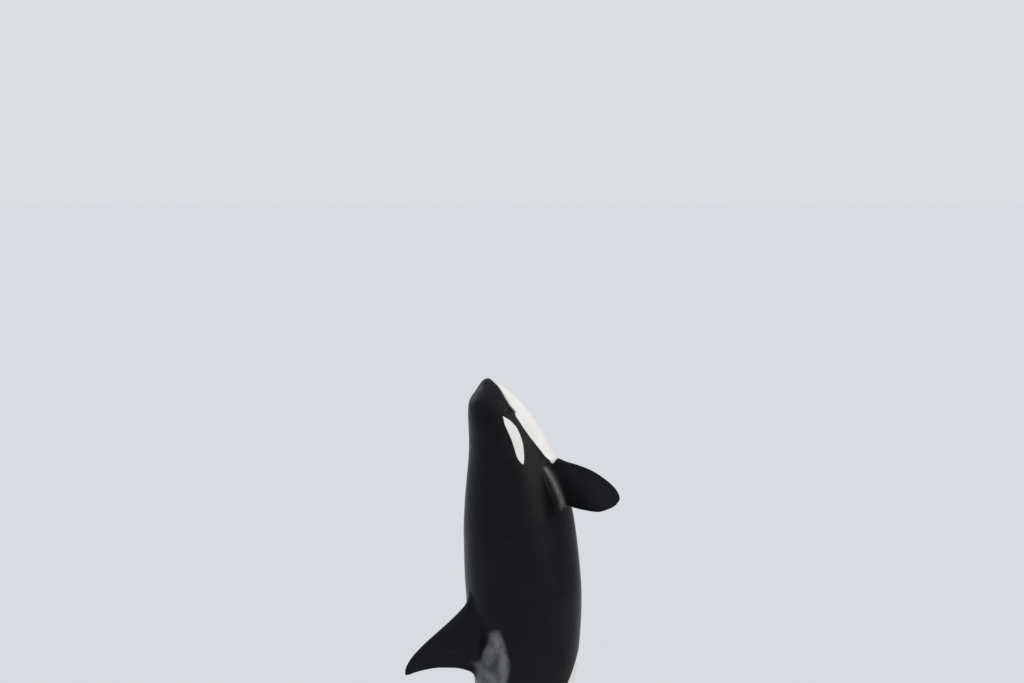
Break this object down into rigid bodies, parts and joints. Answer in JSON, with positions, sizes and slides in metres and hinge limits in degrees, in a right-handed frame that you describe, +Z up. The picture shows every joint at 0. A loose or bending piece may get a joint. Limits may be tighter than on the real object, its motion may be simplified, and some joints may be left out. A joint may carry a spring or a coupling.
{
  "type": "life-size orca display model",
  "caption": "Life-size still model of an adult female orca rising upright head first, held above a flat base by two slanting rods.",
  "frame": {"origin": "centre of the underside of the base plate, on the floor", "axes": "+Z up, +X the way the belly faces, +Y the animal's left side"},
  "size_m": [2.6, 2.6108, 6.2408],
  "materials": {
    "black_skin": "wet satin black skin, with white and grey markings",
    "white_skin": "wet satin off-white skin",
    "eye": "high gloss dark brown",
    "stand_base": "matt grey paint",
    "stand_rod": "brushed"
  },
  "bodies": {
    "root": {"head": "black_skin", "lower_jaw": "white_skin", "chest": "black_skin", "torso": "black_skin", "loin": "black_skin", "tail_stock": "black_skin", "dorsal_fin": "black_skin", "pectoral_fin_left": "black_skin", "pectoral_fin_right": "black_skin", "fluke_left": "black_skin", "fluke_right": "black_skin", "eye_left": "eye", "eye_right": "eye", "stand_base": "stand_base", "stand_rod_belly": "stand_rod", "stand_foot_belly": "stand_rod", "stand_rod_back": "stand_rod", "stand_foot_back": "stand_rod"}
  },
  "joints": []
}
